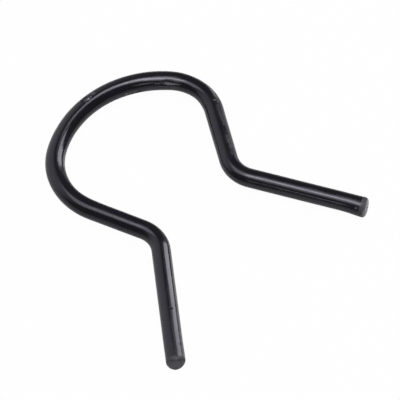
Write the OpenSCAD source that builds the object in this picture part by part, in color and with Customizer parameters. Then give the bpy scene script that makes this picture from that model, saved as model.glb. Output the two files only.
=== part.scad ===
// Pivot retaining clip: one length of round spring wire bent flat into a keyhole loop.
// A shallow crown and two tighter shoulders make the loop, two arms converge to
// the neck, and two bends there turn the wire out into a pair of straight legs.
// The clip lies on z = 0, with the crown at +Y and the mouth and legs at -Y. The
// origin is half the loop's clear width below the inside of the crown.

/* [Wire] */
// Diameter of the spring wire
wire_d = 3.2; // [2:0.1:4]
// How far the wire's radius draws down in a bend
bend_draw = 0.02; // [0.01:0.01:0.05]
// Radius of the deburred edge round each cut end
end_edge_r = 0.7; // [0.1:0.1:0.9]

/* [Loop] */
// Clear width inside the loop, side to side
loop_w = 26.9; // [24:0.1:30]
// Inside radius of the crown
crown_r = 16.5; // [15.5:0.1:24]
// Inside radius of the left shoulder
left_shoulder_r = 8.6; // [5:0.1:10.5]
// Inside radius of the right shoulder
right_shoulder_r = 6.3; // [5:0.1:10.5]

/* [Neck] */
// Clear width of the neck, where a pivot snaps through
neck_gap = 15.5; // [10:0.1:18]
// Angle at which each arm leans in towards the neck
arm_angle = 26; // [20:1:34]
// Inside radius of each neck bend
neck_r = 3.5; // [2:0.1:6]

/* [Legs] */
// Angle at which each leg splays out from the middle line
leg_angle = 33.5; // [15:0.5:50]
// Straight length of the left leg, from its bend to its end
left_leg_len = 22.5; // [8:0.1:40]
// Straight length of the right leg, from its bend to its end
right_leg_len = 20.3; // [8:0.1:40]

/* [Hidden] */

$fn = 96;
wire_r = wire_d / 2;

// Radii and half widths to the middle of the wire, along which the clip is worked out
crown_path_r = crown_r + wire_r;
neck_path_r = neck_r + wire_r;
loop_half = loop_w / 2 + wire_r;
neck_half = neck_gap / 2 + wire_r;

// This puts the inside of the crown half the loop's clear width above the origin
crown_centre_y = loop_w / 2 - crown_r;

// Length of a bend that runs on inside the full wire at each of its ends
bend_lap = 0.2;

// How far the crown turns on one side, up to where that side's shoulder takes over
function crown_turn(shoulder_path_r) =
    asin((loop_half - shoulder_path_r) / (crown_path_r - shoulder_path_r));

// Straight length of an arm, which the widths of the loop and the neck leave for it
function arm_len(shoulder_path_r) =
    (loop_half - neck_half - (shoulder_path_r + neck_path_r) * (1 - cos(arm_angle)))
    / sin(arm_angle);

// The pieces of wire below start at the origin along +X. Their children start where they end.

// A straight of full wire
module straight(len) {
    rotate([0, 90, 0])
        cylinder(r = wire_r, h = len);
    translate([len, 0, 0])
        children();
}

// A bend to the right, or to the left where turn is negative. Its wire is drawn a little
// thinner, so each end of it starts inside the full wire of its neighbour.
module bend(path_r, turn) {
    side = sign(turn);
    lap = bend_lap / path_r * 180 / PI;
    translate([0, -side * path_r, 0]) {
        rotate([0, 0, side * 90 - max(turn, 0) - lap])
            rotate_extrude(angle = abs(turn) + 2 * lap)
                translate([path_r, 0])
                    circle(r = wire_r - bend_draw);
        rotate([0, 0, -turn])
            translate([0, side * path_r, 0])
                children();
    }
}

// A straight that stops at a flat cut face with a deburred edge
module cut_end(len) {
    rotate([0, 90, 0])
        rotate_extrude() {
            square([wire_r, len - end_edge_r]);
            square([wire_r - end_edge_r, len]);
            translate([wire_r - end_edge_r, len - end_edge_r])
                intersection() {
                    circle(r = end_edge_r);
                    square(end_edge_r);
                }
        }
}

// The shallow arc of full wire across the top of the loop, about the origin
module crown(left_turn, right_turn) {
    rotate([0, 0, 90 - right_turn])
        rotate_extrude(angle = left_turn + right_turn)
            translate([crown_path_r, 0])
                circle(r = wire_r);
}

// The right-hand side of the clip, from the crown's end to the end of the leg
module side(shoulder_path_r, leg_len) {
    turned = crown_turn(shoulder_path_r);
    rotate([0, 0, -turned])
        translate([0, crown_path_r, 0])
            bend(shoulder_path_r, 90 + arm_angle - turned)
                straight(arm_len(shoulder_path_r))
                    bend(neck_path_r, -(arm_angle + leg_angle))
                        cut_end(leg_len);
}

module retaining_clip() {
    left_path_r = left_shoulder_r + wire_r;
    right_path_r = right_shoulder_r + wire_r;
    color("#3a3a40")
        translate([0, crown_centre_y, wire_r]) {
            crown(crown_turn(left_path_r), crown_turn(right_path_r));
            side(right_path_r, right_leg_len);
            mirror([1, 0, 0])
                side(left_path_r, left_leg_len);
        }
}

retaining_clip();
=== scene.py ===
# Pivot retaining clip: a bent spring wire with a black semi-gloss coating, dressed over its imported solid.
import math
import bpy
import numpy as np
from mathutils import Matrix, Vector, noise


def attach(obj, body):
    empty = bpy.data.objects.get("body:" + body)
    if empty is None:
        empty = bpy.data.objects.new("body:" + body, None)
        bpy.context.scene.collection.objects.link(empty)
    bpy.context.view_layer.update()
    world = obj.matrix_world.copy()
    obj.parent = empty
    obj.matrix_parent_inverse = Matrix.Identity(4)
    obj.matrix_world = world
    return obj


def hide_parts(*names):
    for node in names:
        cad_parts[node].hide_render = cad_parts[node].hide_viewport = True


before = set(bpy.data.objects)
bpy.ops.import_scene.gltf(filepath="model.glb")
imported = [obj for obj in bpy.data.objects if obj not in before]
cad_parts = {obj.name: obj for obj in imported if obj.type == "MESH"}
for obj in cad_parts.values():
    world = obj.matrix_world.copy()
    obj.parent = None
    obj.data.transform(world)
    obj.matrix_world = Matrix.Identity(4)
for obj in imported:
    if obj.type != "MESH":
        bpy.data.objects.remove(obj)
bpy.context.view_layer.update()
mm = 0.001
tiny = 1e-6  # keeps a division away from zero
print("frame loaded")

# The wire, in millimetres and degrees. Places along it are stations, counted from the crown's middle and positive to
# the right, and at is a thing's station. Around is 0 on the loop's outer side, 90 on top and 180 on the inner side.
clipWire = {
    # The driving sizes, the same as the solid's.
    "wireDiameter": 3.2,
    "loopWidth": 26.9,
    "crownRadius": 16.5,
    "leftShoulderRadius": 8.6,
    "rightShoulderRadius": 6.3,
    "neckGap": 15.5,
    "armAngle": 26.0,
    "neckRadius": 3.5,
    "legAngle": 33.5,
    "leftLegLength": 22.5,
    "rightLegLength": 20.3,
    # How finely it is swept.
    "pointsRound": 120,
    "ringStep": 0.08,
    "keepEvery": 3,  # one ring in this many stays, away from the ends and the small marks
    "smallMark": 1.6,  # a mark of a shorter half length keeps all the rings beside it
    "ringReach": (1.3, 0.25),  # how far beside it: half lengths of the mark, and room added to them
    # Girth as a share of the wire's own. It stays a hair inside the solid, and the bends have drawn it down.
    "girth": 0.9965,
    "girthChanges": (
        {"at": 17.6, "length": 3.6, "share": -0.045},
        {"at": -8.5, "length": 5.0, "share": -0.018},
        {"at": 33.0, "length": 3.0, "share": -0.008},
        {"at": -37.0, "length": 3.0, "share": -0.012},
    ),
    # The cut ends.
    "endRoom": 0.9,  # how far from the tip the barrel's own rings stop
    "edgeRings": 12,  # rings over the rounded edge
    "faceRings": 12,  # rings over the face
    "faceReach": 0.96,  # how far across to the face's middle the last of them is
    "faceStep": 0.02,  # how far the path runs on under the face
    "faceGirth": 0.02,  # girth that the face's rings keep until they are shaped
    "edgeRadius": {"left": (0.72, 0.30, 0.86), "right": (0.64, 0.22, 0.56)},  # outer side, top and inner side
    "edgeTurn": 1.5,  # how late the edge's radius passes from the top's to the side's
    "edgeStretch": 1.15,  # the edge is this much longer along the wire than across it
    "edgeBlunt": 1.1,  # 1 is a round edge and 2 a straight bevel
    "faceDome": 0.06,
    "faceRough": 0.006,  # height of the sheared faces' unevenness
    "faceGrain": 0.45,  # and its size
    "faceApart": 9,  # how far from the middle of the noise each face takes its grain
    # The barrel's unevenness.
    "sideways": 0.012,  # the coating sits this share thicker on the wire's sides
    "sidewaysFromCrown": (2, 6),  # distances from the crown's middle over which that comes in
    "sidewaysFromEnds": (1, 5),  # and from the tips
    "slowWave": 0.009,  # height of the drawn wire's slow waves
    "slowLength": 4.0,
    "ripple": 0.0022,  # height of the fine ripple
    "rippleLength": (0.55, 1.8),  # across the wire and along it
    "seed": 3.7,
    # How the coating changes at the ends.
    "faceStart": (0.3, 0.02),  # left and right: share of the edge's rounding where the bare face starts
    "faceBlend": 0.36,
    "faceSteelSheen": (0.0, 1.0),  # left and right: how far the face is painted pale, as bare steel with a painted reflection of the lit floor
    "steelSheenRise": (0.05, 0.8),  # shares of the edge's rounding over which that pale steel and its painted reflection come in
    "dullLength": (18.0, 1.5),  # left and right: the length over which the gloss fades towards the tip
    "wornLength": (0.92, 1.0),  # left and right: how far up from the tip the coating is rubbed matt
    "wornWander": 0.12,  # how far that band's edge wanders
    "wornSize": 0.6,  # and over what length
    "wornFade": (0.1, 0.15),  # how far before and past its edge the band fades
    "wornRise": (0.1, 0.5),  # shares of the edge's rounding over which it is rubbed as well
    # The profile of a mark.
    "markWall": 3,  # 2 is a soft bowl, and more gives it a flatter floor and a steeper wall
    "markLip": (1.35, 0.3),  # where the lip stands and how broad it is, in half sizes of the mark
    "markBreaks": 0.22,  # size of the breaks in its outline
    "markReach": (3, 0.3),  # past this many half sizes, and this room added to them, a mark is too faint to matter
    "plainMark": {"lean": 0, "depth": 0, "rim": 0, "ragged": 0, "wear": 0, "pitShade": 0},
    # The marks. Long and wide are half sizes, lean turns a mark about its middle, and depth is negative where it is
    # raised. Rim is the lip pushed up around it, ragged breaks its outline, wear scuffs the coating there and, high
    # enough, bares it to a pale spot painted as a glint, and the pit shade is painted shade that dims the reflection
    # there as if it lay in its own shade. What a mark doesn't say is the plain mark's.
    "marks": {
        "scarPit": dict(at=-1.42, around=88, long=0.36, wide=0.13, lean=8, depth=0.09, rim=0.03, ragged=0.5, pitShade=1),
        "scarBurr": dict(at=-0.93, around=83, long=0.2, wide=0.19, lean=60, depth=-0.06, ragged=0.6, wear=1.45),
        "scarTail": dict(at=-0.42, around=81, long=0.27, wide=0.11, depth=-0.03, ragged=0.3, wear=1.35),
        "scarScrape": dict(at=-1.5, around=80, long=0.34, wide=0.14, depth=0.03, rim=0.01, ragged=0.5, wear=0.9),
        "scarEdge": dict(at=-1.95, around=68, long=0.17, wide=0.4, depth=0.08, ragged=0.3, pitShade=1),
        "scarShade": dict(at=-1.25, around=60, long=0.7, wide=0.22, depth=0.05, rim=0.02, ragged=0.5, pitShade=1),
        "scarNotch": dict(at=-0.1, around=86, long=0.12, wide=0.15, depth=0.04, ragged=0.4, pitShade=0.9),
        "scarScuff": dict(at=0.3, around=72, long=0.5, wide=0.3, depth=-0.015, ragged=0.5, wear=0.6),
        "flakeSpot": dict(at=5.72, around=172, long=0.22, wide=0.22, depth=-0.04, ragged=0.2, wear=1.45),
        "flakeLip": dict(at=7.3, around=170, long=1.3, wide=0.12, lean=3, depth=-0.04, ragged=0.4, wear=0.8),
        "flakeGapA": dict(at=6.75, around=192, long=0.42, wide=0.2, lean=-4, depth=0.1, rim=0.01, ragged=0.4, pitShade=1),
        "flakeGapB": dict(at=8.25, around=185, long=0.62, wide=0.2, lean=-10, depth=0.14, rim=0.02, ragged=0.3, pitShade=1),
        "scratch": dict(at=22.9, around=73, long=0.1, wide=0.44, lean=9, depth=0.02, rim=0.01, ragged=0.1, wear=0.85),
        "shoulderScuff": dict(at=21.1, around=46, long=1.6, wide=0.42, lean=8, depth=0.01, ragged=0.35, wear=1.2),
        "shoulderDent": dict(at=23.4, around=56, long=0.2, wide=0.18, depth=0.03, ragged=0.5, pitShade=0.6),
        "shoulderRub": dict(at=21.9, around=146, long=1.4, wide=0.42, lean=-5, depth=0.01, ragged=0.8, wear=0.3),
        "legNick": dict(at=-53, around=102, long=0.16, wide=0.25, lean=10, depth=0.048, rim=0.01, ragged=0.3, pitShade=0.9),
        "legNotch": dict(at=-59.9, around=134, long=0.13, wide=0.22, depth=0.04, rim=0.01, ragged=0.3, pitShade=0.5),
        "legDot": dict(at=57.9, around=142, long=0.17, wide=0.15, depth=-0.035, ragged=0.2, wear=1),
        "rightSpread": dict(at=60.4, around=192, long=3.4, wide=2.0, depth=-0.28),
        "leftSpread": dict(at=-62.6, around=180, long=3.4, wide=1.7, depth=-0.07),
        "shoulderSwell": dict(at=21.9, around=10, long=2.6, wide=1.6, depth=-0.045),
        "shoulderFlat": dict(at=19.6, around=180, long=1.8, wide=1.4, depth=0.07),
        "leftSwell": dict(at=-13.5, around=0, long=4.5, wide=1.6, depth=-0.07),
        "armSwell": dict(at=-24.5, around=180, long=2.6, wide=1.6, depth=-0.08),
        "crownPress": dict(at=13.4, around=138, long=1.1, wide=0.55, lean=-10, depth=0.058, ragged=0.15),
    },
}


def arcPoints(centre, radius, startAngle, endAngle, step):
    count = max(2, math.ceil(abs(math.radians(endAngle - startAngle)) * radius / step))
    angles = np.radians(np.linspace(startAngle, endAngle, count + 1))
    return np.c_[centre[0] + radius * np.cos(angles), centre[1] + radius * np.sin(angles)]


def linePoints(start, end, step):
    count = max(2, math.ceil(np.hypot(*(end - start)) / step))
    return start + np.linspace(0, 1, count + 1)[:, None] * (end - start)


def halfPath(form, shoulderRadius, legLength):
    # The right half of the centre line, from the middle of the crown to where the barrel's rings stop on the leg.
    wireRadius = form["wireDiameter"] / 2
    crownPath = form["crownRadius"] + wireRadius
    shoulderPath = shoulderRadius + wireRadius
    neckPath = form["neckRadius"] + wireRadius
    loopHalf = form["loopWidth"] / 2 + wireRadius
    neckHalf = form["neckGap"] / 2 + wireRadius
    arm, leg = form["armAngle"], form["legAngle"]
    step = form["ringStep"]
    crownTurn = math.degrees(math.asin((loopHalf - shoulderPath) / (crownPath - shoulderPath)))
    crownCentre = np.array([0.0, form["loopWidth"] / 2 - form["crownRadius"]])
    crownEnd = math.radians(90 - crownTurn)
    shoulderCentre = crownCentre + (crownPath - shoulderPath) * np.array([math.cos(crownEnd), math.sin(crownEnd)])
    crown = arcPoints(crownCentre, crownPath, 90, 90 - crownTurn, step)
    shoulder = arcPoints(shoulderCentre, shoulderPath, 90 - crownTurn, -arm, step)
    armSpan = loopHalf - neckHalf - (shoulderPath + neckPath) * (1 - math.cos(math.radians(arm)))
    armLength = armSpan / math.sin(math.radians(arm))
    armWay = np.array([-math.sin(math.radians(arm)), -math.cos(math.radians(arm))])
    armEnd = shoulder[-1] + armLength * armWay
    neckCentre = armEnd + neckPath * np.array([math.cos(math.radians(arm)), -math.sin(math.radians(arm))])
    neck = arcPoints(neckCentre, neckPath, 180 - arm, 180 + leg, step)
    legWay = np.array([math.sin(math.radians(leg)), -math.cos(math.radians(leg))])
    barrelEnd = neck[-1] + (legLength - form["endRoom"]) * legWay
    pieces = [crown, shoulder, linePoints(shoulder[-1], armEnd, step), neck, linePoints(neck[-1], barrelEnd, step)]
    points = np.concatenate([pieces[0]] + [piece[1:] for piece in pieces[1:]])
    return points, legWay


def endRings(form):
    # The rings of a cut end: how far each has turned over the edge (0 to 1) and then crossed the face (1 to 2).
    turned = np.linspace(0, 1, form["edgeRings"] + 1)[1:]
    crossed = np.linspace(0, form["faceReach"], form["faceRings"] + 1)[1:]
    return np.concatenate([turned, 1 + crossed])


def wirePath(form):
    # Each ring's point on the centre line, its girth, how far it has turned over a cut end, and its station.
    turned = endRings(form)
    past = form["endRoom"] * np.minimum(turned, 1) + form["faceStep"] * np.maximum(turned - 1, 0)
    endGirth = np.where(turned > 1, 2 + form["faceGirth"] - turned, 1)
    halves = []
    for mirror, shoulderRadius, legLength in (
        (-1, form["leftShoulderRadius"], form["leftLegLength"]),
        (1, form["rightShoulderRadius"], form["rightLegLength"]),
    ):
        barrel, legWay = halfPath(form, shoulderRadius, legLength)
        points = np.concatenate([barrel, barrel[-1] + past[:, None] * legWay])
        girth = np.concatenate([np.ones(len(barrel)), endGirth])
        halves.append((points * [mirror, 1], girth, np.concatenate([np.zeros(len(barrel)), turned])))
    points, girth, turned = (np.concatenate([left[::-1], right[1:]]) for left, right in zip(*halves))
    steps = np.hypot(*np.diff(points, axis=0).T)
    station = np.concatenate([[0], np.cumsum(steps)])
    middle = len(halves[0][0]) - 1
    return points, girth, turned, station - station[middle]


def keptRings(form, station, turned):
    # Every ring at the cut ends and beside the small marks, and one in a few elsewhere.
    halfLengths, room = form["ringReach"]
    kept = np.arange(len(station)) % form["keepEvery"] == 0
    kept |= turned > 0
    kept[[0, -1]] = True
    for mark in form["marks"].values():
        if mark["long"] < form["smallMark"]:
            kept |= np.abs(station - mark["at"]) < mark["long"] * halfLengths + room
    return kept


def wireGirth(form, station):
    girth = np.full(len(station), form["girth"])
    for change in form["girthChanges"]:
        girth += change["share"] * np.exp(-(((station - change["at"]) / change["length"]) ** 2))
    return girth


def sweepTree():
    # Geometry Nodes: the path's edges become a curve, and a round section is swept along it at each point's girth.
    tree = bpy.data.node_groups.new("sweptWire", "GeometryNodeTree")
    tree.interface.new_socket("Path", in_out="INPUT", socket_type="NodeSocketGeometry")
    diameter = tree.interface.new_socket("Wire Diameter", in_out="INPUT", socket_type="NodeSocketFloat")
    around = tree.interface.new_socket("Points Round", in_out="INPUT", socket_type="NodeSocketInt")
    coating = tree.interface.new_socket("Coating", in_out="INPUT", socket_type="NodeSocketMaterial")
    tree.interface.new_socket("Wire", in_out="OUTPUT", socket_type="NodeSocketGeometry")
    inputs = {"diameter": diameter.identifier, "around": around.identifier, "coating": coating.identifier}
    nodes, link = tree.nodes, tree.links.new
    entry = nodes.new("NodeGroupInput")
    leave = nodes.new("NodeGroupOutput")
    toCurve = nodes.new("GeometryNodeMeshToCurve")
    upright = nodes.new("GeometryNodeSetCurveNormal")
    upright.mode = "Z_UP"
    section = nodes.new("GeometryNodeCurvePrimitiveCircle")
    halfWidth = nodes.new("ShaderNodeMath")
    halfWidth.operation = "MULTIPLY"
    halfWidth.inputs[1].default_value = 0.5
    girth = nodes.new("GeometryNodeInputNamedAttribute")
    girth.inputs["Name"].default_value = "girth"
    sweep = nodes.new("GeometryNodeCurveToMesh")
    sweep.inputs["Fill Caps"].default_value = True
    realize = nodes.new("GeometryNodeRealizeInstances")
    finish = nodes.new("GeometryNodeSetMaterial")
    link(entry.outputs["Path"], toCurve.inputs["Mesh"])
    link(toCurve.outputs["Curve"], upright.inputs["Curve"])
    link(entry.outputs["Wire Diameter"], halfWidth.inputs[0])
    link(halfWidth.outputs[0], section.inputs["Radius"])
    link(entry.outputs["Points Round"], section.inputs["Resolution"])
    link(upright.outputs["Curve"], sweep.inputs["Curve"])
    link(section.outputs["Curve"], sweep.inputs["Profile Curve"])
    link(girth.outputs["Attribute"], sweep.inputs["Scale"])
    link(sweep.outputs["Mesh"], realize.inputs["Geometry"])
    link(realize.outputs["Geometry"], finish.inputs["Geometry"])
    link(entry.outputs["Coating"], finish.inputs["Material"])
    link(finish.outputs["Geometry"], leave.inputs["Wire"])
    return tree, inputs


def readValues(mesh, name):
    values = np.empty(len(mesh.vertices), dtype=np.float32)
    mesh.attributes[name].data.foreach_get("value", values)
    return values.astype(float)


def writeValues(mesh, name, values):
    mesh.attributes.new(name, "FLOAT", "POINT").data.foreach_set("value", values.astype(np.float32))


def sweptWire(form, coating):
    points, endGirth, turned, station = wirePath(form)
    kept = keptRings(form, station, turned)
    points, endGirth, turned, station = points[kept], endGirth[kept], turned[kept], station[kept]
    height = form["wireDiameter"] / 2
    places = [(x * mm, y * mm, height * mm) for x, y in points]
    path = bpy.data.meshes.new("wirePath")
    path.from_pydata(places, [(i, i + 1) for i in range(len(places) - 1)], [])
    writeValues(path, "station", station)
    writeValues(path, "girth", endGirth * wireGirth(form, station))
    writeValues(path, "turned", turned)
    holder = bpy.data.objects.new("wirePath", path)
    bpy.context.scene.collection.objects.link(holder)
    tree, inputs = sweepTree()
    modifier = holder.modifiers.new("sweptWire", "NODES")
    modifier.node_group = tree
    modifier[inputs["diameter"]] = form["wireDiameter"] * mm
    modifier[inputs["around"]] = form["pointsRound"]
    modifier[inputs["coating"]] = coating
    graph = bpy.context.evaluated_depsgraph_get()
    swept = holder.evaluated_get(graph)
    mesh = bpy.data.meshes.new_from_object(swept, preserve_all_data_layers=True, depsgraph=graph)
    holder.modifiers.clear()
    bpy.data.objects.remove(holder)
    mesh.name = "retainingClipWire"
    wire = bpy.data.objects.new("retainingClipWire", mesh)
    bpy.context.scene.collection.objects.link(wire)
    return wire, points, station


def smoothRise(value, low, high):
    share = np.clip((value - low) / (high - low), 0, 1)
    return share * share * (3 - 2 * share)


def noiseAt(places, size, seed):
    start = Vector((seed, seed, seed))
    return np.array([noise.noise(Vector(place) / size + start) for place in places])


def measuredWire(mesh, points, station):
    # Each vertex's place and station, its point on the centre line, and which way the wire and its outer side face.
    count = len(mesh.vertices)
    place = np.empty(count * 3)
    mesh.vertices.foreach_get("co", place)
    place = place.reshape(-1, 3) / mm
    along = readValues(mesh, "station")
    way = np.gradient(points, axis=0)
    way /= np.hypot(way[:, 0], way[:, 1])[:, None]
    centre = np.c_[np.interp(along, station, points[:, 0]), np.interp(along, station, points[:, 1])]
    tangent = np.c_[np.interp(along, station, way[:, 0]), np.interp(along, station, way[:, 1])]
    outer = np.c_[-tangent[:, 1], tangent[:, 0], np.zeros(count)]
    return place, along, centre, tangent, outer


def shapedEnds(form, along, turned, around, radius, station):
    # The new station and radius of each vertex of a cut end. The edge is blunter on some sides than on others.
    full = form["wireDiameter"] / 2 * form["girth"]
    onSide = np.cos(np.radians(around))
    blunt = form["edgeBlunt"]
    newAlong, newRadius = along.copy(), radius.copy()
    for end, sign, tip in (("left", -1, station[0]), ("right", 1, station[-1])):
        here = (turned > 0) & (np.sign(along) == sign)
        outerEdge, topEdge, innerEdge = form["edgeRadius"][end]
        sideEdge = np.where(onSide[here] > 0, outerEdge, innerEdge)
        edge = topEdge + (sideEdge - topEdge) * np.abs(onSide[here]) ** form["edgeTurn"]
        turn = np.radians(90 * np.minimum(turned[here], 1))
        share = np.where(turned[here] > 1, 2 - turned[here], 1)
        back = form["edgeStretch"] * edge * (1 - np.sin(turn) ** blunt)
        dome = form["faceDome"] * (1 - share ** 2)
        newAlong[here] = tip - sign * (form["faceStep"] * form["faceReach"] + back - dome)
        newRadius[here] = (full - edge * (1 - np.cos(turn) ** blunt)) * share
    return newAlong, newRadius


def unevenness(form, straight, along, around, toEnd):
    # How far the drawn wire and its coating stand out from a true cylinder.
    across, lengthwise = form["rippleLength"]
    push = form["slowWave"] * noiseAt(straight, form["slowLength"], form["seed"])
    push += form["ripple"] * noiseAt(straight / [across, across, lengthwise], 1.0, -form["seed"])
    clear = smoothRise(np.abs(along), *form["sidewaysFromCrown"]) * smoothRise(toEnd, *form["sidewaysFromEnds"])
    return push + form["sideways"] * form["wireDiameter"] / 2 * np.cos(np.radians(around)) ** 2 * clear


def pressMarks(form, push, straight, along, around):
    # Adds every mark to how far the surface is pushed out, and returns how worn it is and how much painted pit shade
    # dims it.
    height = form["wireDiameter"] / 2
    wear, pitShade = np.zeros(len(along)), np.zeros(len(along))
    breaks = noiseAt(straight, form["markBreaks"], form["seed"] * 2)
    lipPlace, lipWidth = form["markLip"]
    halfSizes, room = form["markReach"]
    for given in form["marks"].values():
        mark = {**form["plainMark"], **given}
        near = np.abs(along - mark["at"]) < halfSizes * max(mark["long"], mark["wide"]) + room
        turn = (around[near] - mark["around"] + 180) % 360 - 180
        sideStep = np.radians(turn) * height
        forward = along[near] - mark["at"]
        lean = math.radians(mark["lean"])
        lengthShare = (forward * math.cos(lean) + sideStep * math.sin(lean)) / mark["long"]
        widthShare = (sideStep * math.cos(lean) - forward * math.sin(lean)) / mark["wide"]
        reach = np.hypot(lengthShare, widthShare) * (1 + mark["ragged"] * breaks[near])
        shape = np.exp(-reach ** form["markWall"])
        lip = np.exp(-(((reach - lipPlace) / lipWidth) ** 2))
        push[near] += mark["rim"] * lip - mark["depth"] * shape
        wear[near] = np.maximum(wear[near], mark["wear"] * shape)
        pitShade[near] = np.maximum(pitShade[near], mark["pitShade"] * shape)
    return wear, pitShade


def endLooks(form, straight, along, turned, toEnd):
    # Masks for the cut ends: the bare face, the matt band beside it, pale steel with a painted reflection, and where
    # the gloss fades.
    onLeft = along < 0
    faceStart = np.where(onLeft, *form["faceStart"])
    before, beyond = form["wornFade"]
    wander = form["wornWander"] * noiseAt(straight, form["wornSize"], form["seed"])
    band = np.where(onLeft, *form["wornLength"]) + wander
    rubbed = 1 - smoothRise(toEnd, band - before, band + beyond)
    return {
        "cutFace": smoothRise(turned, faceStart, faceStart + form["faceBlend"]),
        "wornEnd": np.maximum(rubbed, smoothRise(turned, *form["wornRise"])),
        "steelSheen": np.where(onLeft, *form["faceSteelSheen"]) * smoothRise(turned, *form["steelSheenRise"]),
        "dull": 1 - smoothRise(toEnd, 0, np.where(onLeft, *form["dullLength"])),
    }


def offCentre(outer, side, rise):
    return outer * side[:, None] + np.c_[np.zeros((len(rise), 2)), rise]


def dressSurface(wire, form, points, station):
    mesh = wire.data
    height = form["wireDiameter"] / 2
    place, along, centre, tangent, outer = measuredWire(mesh, points, station)
    turned = readValues(mesh, "turned")
    side = ((place[:, :2] - centre) * outer[:, :2]).sum(1)
    rise = place[:, 2] - height
    around = np.degrees(np.arctan2(rise, side))
    radius = np.hypot(side, rise)
    newAlong, newRadius = shapedEnds(form, along, turned, around, radius, station)
    place[:, :2] += tangent * (newAlong - along)[:, None]
    scale = newRadius / np.maximum(radius, tiny)
    place += offCentre(outer, side, rise) * (scale - 1)[:, None]
    along, radius, side, rise = newAlong, newRadius, side * scale, rise * scale
    # A place on the straightened wire, for the unevenness: x and y across it and z along it.
    straight = np.c_[height * np.cos(np.radians(around)), height * np.sin(np.radians(around)), along]
    toEnd = np.minimum(along - station[0], station[-1] - along)
    push = unevenness(form, straight, along, around, toEnd)
    wear, pitShade = pressMarks(form, push, straight, along, around)
    barrel = np.clip(radius / height, 0, 1)
    radial = offCentre(outer, side, rise) / np.maximum(radius, tiny)[:, None]
    place += radial * (push * barrel)[:, None]
    looks = {"wear": wear, "pitShade": pitShade, **endLooks(form, straight, along, turned, toEnd)}
    # The faces are sheared unevenly, each with a grain of its own.
    outward = np.sign(along)
    grain = noiseAt(np.c_[side, rise, outward * form["faceApart"]], form["faceGrain"], form["seed"])
    place[:, :2] -= tangent * (outward * looks["cutFace"] * form["faceRough"] * (0.5 + grain))[:, None]
    place[:, 2] = np.clip(place[:, 2], 0.0, form["wireDiameter"])
    mesh.vertices.foreach_set("co", (place * mm).ravel())
    # The coating's patterns lie on the straightened wire too, and run on over the faces.
    rod = np.c_[side, rise, along].astype(np.float32)
    mesh.attributes.new("rodPlace", "FLOAT_VECTOR", "POINT").data.foreach_set("vector", rod.ravel())
    for name, values in looks.items():
        writeValues(mesh, name, values)
    for polygon in mesh.polygons:
        polygon.use_smooth = True
    mesh.update()


# The black coating. Colours are linear, and the patterns' sizes are in millimetres.
coatingLook = {
    "ior": 1.51,
    "tint": (0.885, 0.867, 1.0, 1),
    "specularLevel": (0.5, 0.02),  # of the open surface, and where painted pit shade dims the reflection
    # Noise on the straightened wire: its size, how far it is drawn out along the wire, and its detail.
    "patterns": {
        "cast": (1.7, 2.0, 2.0),
        "drift": (0.9, 3.0, 3.0),
        "specks": (0.22, 1.0, 3.0),
        "grain": (0.35, 2.2, 2.0),
    },
    # Between which levels each mask or pattern comes in.
    "scuffRise": (0.1, 0.8),
    "bareGlintRise": (1.1, 1.4),
    "wornRise": (0.25, 0.95),
    "castRise": (0.38, 0.62),
    "driftRise": (0.3, 0.7),
    "wornSpeckRise": (0.4, 0.65),
    "faceSpeckRise": (0.42, 0.62),
    "scuffBreaks": (0.7, 1.3),  # factors by which the specks weaken and strengthen a scuff
    "steelSheenBreaks": (0.6, 1.4),  # and the pale steel's painted reflection
    "colour": (0.0043, 0.0040, 0.0080, 1),
    "plainColour": (0.0046, 0.0045, 0.0052, 1),  # the coating where its blue cast is weakest
    "scuffColour": (0.060, 0.058, 0.060, 1),
    # bare steel at the heart of a scuff, painted pale as a painted glint
    "bareGlintColour": (0.34, 0.33, 0.33, 1),
    "wornColour": (0.022, 0.021, 0.026, 1),
    "wornSpeck": (0.038, 0.037, 0.043, 1),
    "faceColour": (0.027, 0.026, 0.029, 1),
    "faceSpeck": (0.056, 0.055, 0.058, 1),
    # pale steel of the right end face, lightened as a painted reflection of the lit floor
    "steelSheenColour": (0.19, 0.184, 0.195, 1),
    "gloss": (0.10, 0.19),  # roughness of sound coating, which drifts between these
    "dullGloss": 0.12,  # roughness added where the gloss fades towards an end
    "scuffGloss": 0.5,
    "edgeGloss": 0.62,
    "cutGloss": 0.33,
    "grainHeight": 0.008,  # height in millimetres of the coating's fine grain
    "cutGrain": 0.006,  # and of the rubbed ends'
}


def placed(tree, kind, x, y, **settings):
    node = tree.nodes.new(kind)
    node.location = (x, y)
    for name, value in settings.items():
        setattr(node, name, value)
    return node


def feed(tree, socket, value):
    # A socket takes the output of an earlier node or a plain value.
    if isinstance(value, bpy.types.NodeSocket):
        tree.links.new(value, socket)
    else:
        socket.default_value = value


def mixedColour(tree, x, y, share, first, second):
    node = placed(tree, "ShaderNodeMix", x, y, data_type="RGBA")
    factor, firstColour, secondColour = node.inputs[0], node.inputs[6], node.inputs[7]
    feed(tree, factor, share)
    feed(tree, firstColour, first)
    feed(tree, secondColour, second)
    return node.outputs[2]


def mixedValue(tree, x, y, share, first, second):
    node = placed(tree, "ShaderNodeMapRange", x, y)
    feed(tree, node.inputs["Value"], share)
    feed(tree, node.inputs["To Min"], first)
    feed(tree, node.inputs["To Max"], second)
    return node.outputs["Result"]


def stepped(tree, x, y, value, low, high, start=0.0, end=1.0):
    # Passes smoothly from the start to the end while the value rises from low to high.
    node = placed(tree, "ShaderNodeMapRange", x, y, interpolation_type="SMOOTHSTEP")
    feed(tree, node.inputs["Value"], value)
    for name, level in (("From Min", low), ("From Max", high), ("To Min", start), ("To Max", end)):
        node.inputs[name].default_value = level
    return node.outputs["Result"]


def combined(tree, x, y, operation, *values):
    node = placed(tree, "ShaderNodeMath", x, y, operation=operation)
    for socket, value in zip(node.inputs, values):
        feed(tree, socket, value)
    return node.outputs[0]


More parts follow.
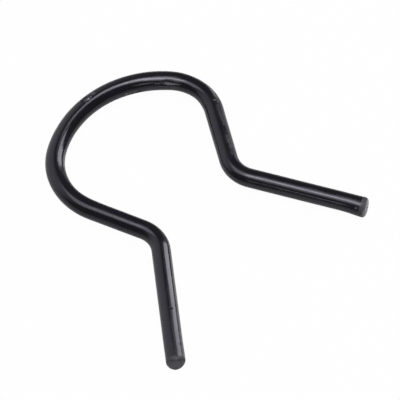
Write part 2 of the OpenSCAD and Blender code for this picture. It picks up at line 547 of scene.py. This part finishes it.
def pattern(tree, x, y, rod, size, stretch, detail):
    scaled = placed(tree, "ShaderNodeVectorMath", x, y, operation="MULTIPLY")
    feed(tree, scaled.inputs[0], rod)
    feed(tree, scaled.inputs[1], (1 / size, 1 / size, 1 / (size * stretch)))
    node = placed(tree, "ShaderNodeTexNoise", x + 200, y)
    feed(tree, node.inputs["Vector"], scaled.outputs[0])
    feed(tree, node.inputs["Scale"], 1.0)
    feed(tree, node.inputs["Detail"], detail)
    return node.outputs["Fac"]


def blackCoating(look):
    material = bpy.data.materials.new("blackCoating")
    material.use_nodes = True
    tree = material.node_tree
    shader = tree.nodes["Principled BSDF"]
    feed(tree, shader.inputs["IOR"], look["ior"])
    feed(tree, shader.inputs["Specular Tint"], look["tint"])
    rod = placed(tree, "ShaderNodeAttribute", -1900, 0, attribute_name="rodPlace").outputs["Vector"]
    masks = []
    for row, name in enumerate(("wear", "cutFace", "wornEnd", "pitShade", "steelSheen", "dull")):
        node = placed(tree, "ShaderNodeAttribute", -1900, -300 - 200 * row, attribute_name=name)
        masks.append(node.outputs["Fac"])
    wear, face, worn, pitShade, steelSheen, dull = masks
    noises = {}
    for row, (name, sizes) in enumerate(look["patterns"].items()):
        noises[name] = pattern(tree, -1600, 500 - 200 * row, rod, *sizes)
    specks = noises["specks"]
    # Scuffs: the wear breaks up into specks at its edges and shows bare steel at its heart, painted pale there as a
    # painted glint.
    scuffBreaks = mixedValue(tree, -1400, -400, specks, *look["scuffBreaks"])
    broken = combined(tree, -1200, -300, "MULTIPLY", wear, scuffBreaks)
    scuffed = stepped(tree, -1000, -300, broken, *look["scuffRise"])
    baredGlint = stepped(tree, -1000, -500, broken, *look["bareGlintRise"])
    cut = combined(tree, -1200, -700, "MAXIMUM", face, stepped(tree, -1400, -800, worn, *look["wornRise"]))
    # Colour, from the sound coating to the rubbed ends, the faces with the right one's painted reflection, the scuffs
    # and the bare spots with their painted glint.
    castShare = stepped(tree, -1100, 500, noises["cast"], *look["castRise"])
    colour = mixedColour(tree, -900, 500, castShare, look["colour"], look["plainColour"])
    wornShare = stepped(tree, -1100, 250, specks, *look["wornSpeckRise"])
    wornTone = mixedColour(tree, -900, 250, wornShare, look["wornColour"], look["wornSpeck"])
    faceShare = stepped(tree, -1100, 50, specks, *look["faceSpeckRise"])
    faceTone = mixedColour(tree, -900, 50, faceShare, look["faceColour"], look["faceSpeck"])
    # The right end face is painted pale: bare steel lightened as a painted reflection of the lit floor.
    steelSheenBreaks = mixedValue(tree, -1200, 50, specks, *look["steelSheenBreaks"])
    steelSheenShare = combined(tree, -1000, 50, "MULTIPLY", steelSheen, steelSheenBreaks)
    faceTone = mixedColour(tree, -800, 50, steelSheenShare, faceTone, look["steelSheenColour"])
    cutTone = mixedColour(tree, -700, 200, face, wornTone, faceTone)
    colour = mixedColour(tree, -600, 450, cut, colour, cutTone)
    colour = mixedColour(tree, -400, 450, scuffed, colour, look["scuffColour"])
    colour = mixedColour(tree, -200, 450, baredGlint, colour, look["bareGlintColour"])
    feed(tree, shader.inputs["Base Color"], colour)
    # Roughness, in the same order.
    rough = mixedValue(tree, -900, 0, stepped(tree, -1100, 0, noises["drift"], *look["driftRise"]), *look["gloss"])
    rough = combined(tree, -700, 100, "ADD", rough, combined(tree, -800, 100, "MULTIPLY", dull, look["dullGloss"]))
    cutRough = mixedValue(tree, -800, -150, face, look["edgeGloss"], look["cutGloss"])
    rough = mixedValue(tree, -600, 0, cut, rough, cutRough)
    rough = mixedValue(tree, -400, 0, scuffed, rough, look["scuffGloss"])
    feed(tree, shader.inputs["Roughness"], rough)
    # Painted pit shade: the reflection is dimmed in pits, nicks and gaps so that they read dark, as if in shade.
    feed(tree, shader.inputs["Specular IOR Level"], mixedValue(tree, -200, -150, pitShade, *look["specularLevel"]))
    # Fine grain, with the specks standing out of it at the ends.
    cutSpecks = combined(tree, -800, -500, "MULTIPLY", specks, cut)
    relief = combined(tree, -600, -500, "ADD", noises["grain"], cutSpecks)
    height = mixedValue(tree, -600, -300, cut, look["grainHeight"], look["cutGrain"])
    fine = placed(tree, "ShaderNodeBump", -300, -300)
    feed(tree, fine.inputs["Distance"], mm)
    feed(tree, fine.inputs["Height"], combined(tree, -450, -300, "MULTIPLY", relief, height))
    feed(tree, shader.inputs["Normal"], fine.outputs["Normal"])
    return material


wire, pathPoints, pathStation = sweptWire(clipWire, blackCoating(coatingLook))
print("wire swept:", len(wire.data.vertices), "vertices,", len(wire.data.polygons), "faces")
dressSurface(wire, clipWire, pathPoints, pathStation)
print("surface dressed")
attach(wire, "root")
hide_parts("retaining_clip")


# The table the clip lies on. The camera sees it nearly white, and what mirrors it sees it as it is lit.
floorLook = {
    "size": 4.0,
    "colour": (0.59, 0.59, 0.59, 1),
    "gloss": 0.2,
    "cameraWhite": 0.97,
    "mirrorWhite": 0.0,  # how much of that white a mirroring or clear surface would see too
}


def paleFloor(look):
    half = look["size"] / 2
    mesh = bpy.data.meshes.new("floor")
    mesh.from_pydata([(-half, -half, 0), (half, -half, 0), (half, half, 0), (-half, half, 0)], [], [(0, 1, 2, 3)])
    floor = bpy.data.objects.new("floor", mesh)
    bpy.context.scene.collection.objects.link(floor)
    material = bpy.data.materials.new("paleFloor")
    material.use_nodes = True
    tree = material.node_tree
    tree.nodes.clear()
    sheet = placed(tree, "ShaderNodeBsdfPrincipled", -100, 400)
    feed(tree, sheet.inputs["Base Color"], look["colour"])
    feed(tree, sheet.inputs["Roughness"], look["gloss"])
    white = placed(tree, "ShaderNodeEmission", 0, -100)
    rays = placed(tree, "ShaderNodeLightPath", -700, 0).outputs
    mirrored = combined(tree, -500, -150, "MAXIMUM", rays["Is Glossy Ray"], rays["Is Transmission Ray"])
    mirroredPart = combined(tree, -330, -150, "MULTIPLY", mirrored, look["mirrorWhite"])
    seenPart = combined(tree, -330, 50, "MULTIPLY", rays["Is Camera Ray"], look["cameraWhite"])
    mix = placed(tree, "ShaderNodeMixShader", 300, 0)
    feed(tree, mix.inputs["Fac"], combined(tree, -150, -50, "MAXIMUM", seenPart, mirroredPart))
    feed(tree, mix.inputs[1], sheet.outputs[0])
    feed(tree, mix.inputs[2], white.outputs[0])
    out = placed(tree, "ShaderNodeOutputMaterial", 600, 0)
    feed(tree, out.inputs["Surface"], mix.outputs[0])
    mesh.materials.append(material)
    return floor


floor = paleFloor(floorLook)
print("floor laid")

# A small studio of soft panels, all at one distance in metres and facing the clip's middle. Each panel has its azimuth
# from +X and its elevation, its width and height as shares of the distance, a turn about its own middle, the share of
# its side over which it fades, and its brightness. Air is how brightly the room itself lights the clip.
studio = {
    "middle": (0, -0.009, 0),
    "distance": 0.6,
    "air": 0.129,
    "airColour": (1, 1, 1, 1),
    "panels": {
        "overheadBright": dict(azimuth=-176.4, elevation=81.4, size=(0.27, 0.436), turn=-74.2, fade=0.277, bright=5.67),
        "overheadWide": dict(azimuth=-76.1, elevation=85.9, size=(0.558, 1.87), turn=-76.8, fade=0.41, bright=4.13),
        "overheadSpot": dict(azimuth=-0.5, elevation=83.4, size=(0.176, 0.986), turn=41.8, fade=0.426, bright=6.45),
        "rightPanel": dict(azimuth=-2.6, elevation=30.5, size=(0.404, 0.873), turn=-13.1, fade=0.081, bright=5.41),
        "lowPanel": dict(azimuth=11.9, elevation=2.6, size=(0.481, 0.413), turn=0, fade=0.455, bright=1.28),
        "slimPanel": dict(azimuth=-138.4, elevation=22.9, size=(0.437, 0.56), turn=-73.9, fade=0.184, bright=2.51),
        "slimShoulder": dict(azimuth=-111.8, elevation=37.0, size=(0.231, 0.339), turn=-87.3, fade=0.385, bright=2.78),
        "backWall": dict(azimuth=109.2, elevation=14.0, size=(2.76, 3.26), turn=0, fade=0.395, bright=0.827),
        "highBack": dict(azimuth=140.2, elevation=70.2, size=(0.59, 0.849), turn=67.4, fade=0.238, bright=2.17),
    },
}


def fadingPanel(data, fade):
    # Light nodes that dim the panel smoothly towards its four sides. Parametric runs from 0 to 1 across it.
    data.use_nodes = True
    tree = data.node_tree
    spot = placed(tree, "ShaderNodeNewGeometry", -1000, 0)
    parts = placed(tree, "ShaderNodeSeparateXYZ", -800, 0)
    feed(tree, parts.inputs[0], spot.outputs["Parametric"])
    dims = []
    for row, axis in enumerate(("X", "Y")):
        offset = combined(tree, -600, -200 * row, "SUBTRACT", parts.outputs[axis], 0.5)
        away = combined(tree, -430, -200 * row, "ABSOLUTE", offset)
        dims.append(stepped(tree, -260, -200 * row, away, 0.5 - fade, 0.5, start=1.0, end=0.0))
    feed(tree, tree.nodes["Emission"].inputs["Strength"], combined(tree, -80, 0, "MULTIPLY", *dims))


def softPanel(name, panel, middle, distance):
    azimuth, elevation, turn = (math.radians(panel[part]) for part in ("azimuth", "elevation", "turn"))
    flat = math.cos(elevation)
    way = Vector((math.cos(azimuth) * flat, math.sin(azimuth) * flat, math.sin(elevation)))
    level = Vector((-math.sin(azimuth), math.cos(azimuth), 0))
    rising = way.cross(level)
    across = math.cos(turn) * level + math.sin(turn) * rising
    along = way.cross(across)
    data = bpy.data.lights.new(name, "AREA")
    data.shape = "RECTANGLE"
    data.size, data.size_y = (part * distance for part in panel["size"])
    data.energy = panel["bright"] * math.pi * data.size * data.size_y
    fadingPanel(data, panel["fade"])
    holder = bpy.data.objects.new(name, data)
    bpy.context.scene.collection.objects.link(holder)
    turned = Matrix((across, along, way)).transposed().to_4x4()
    holder.matrix_world = Matrix.Translation(Vector(middle) + way * distance) @ turned
    holder.visible_camera = False


def studioWorld(colour, air):
    # The camera sees the air as plain white, and the clip sees it dim.
    world = bpy.data.worlds.new("studio")
    world.use_nodes = True
    tree = world.node_tree
    background = tree.nodes["Background"]
    rays = placed(tree, "ShaderNodeLightPath", -700, 0)
    feed(tree, background.inputs["Color"], colour)
    feed(tree, background.inputs["Strength"], mixedValue(tree, -300, 0, rays.outputs["Is Camera Ray"], air, 1.0))
    bpy.context.scene.world = world


for panelName, panel in studio["panels"].items():
    softPanel(panelName, panel, studio["middle"], studio["distance"])
studioWorld(studio["airColour"], studio["air"])
print("lamps placed")

# The camera looks down on the clip from the front left, a long way off. Lengths are in millimetres.
cameraStand = {
    "turn": -39.850,
    "elevation": 57.130,
    "target": (1.0733, -11.3457, 1.6),
    "distance": 1491.61,
    "lens": 810,
    "sensor": 36,
    "near": 100,
    "far": 20000,
}


def standCamera(stand):
    turn, elevation = math.radians(stand["turn"]), math.radians(stand["elevation"])
    back = Vector((math.sin(turn) * math.cos(elevation), -math.cos(turn) * math.cos(elevation), math.sin(elevation)))
    right = Vector((math.cos(turn), math.sin(turn), 0))
    up = back.cross(right)
    data = bpy.data.cameras.new("camera")
    data.lens = stand["lens"]
    data.sensor_width = stand["sensor"]
    data.clip_start, data.clip_end = stand["near"] * mm, stand["far"] * mm
    camera = bpy.data.objects.new("camera", data)
    bpy.context.scene.collection.objects.link(camera)
    place = Vector(stand["target"]) * mm + back * stand["distance"] * mm
    camera.matrix_world = Matrix.Translation(place) @ Matrix((right, up, back)).transposed().to_4x4()
    bpy.context.scene.camera = camera


standCamera(cameraStand)
bpy.context.scene.view_settings.view_transform = "Standard"
print("camera stands")
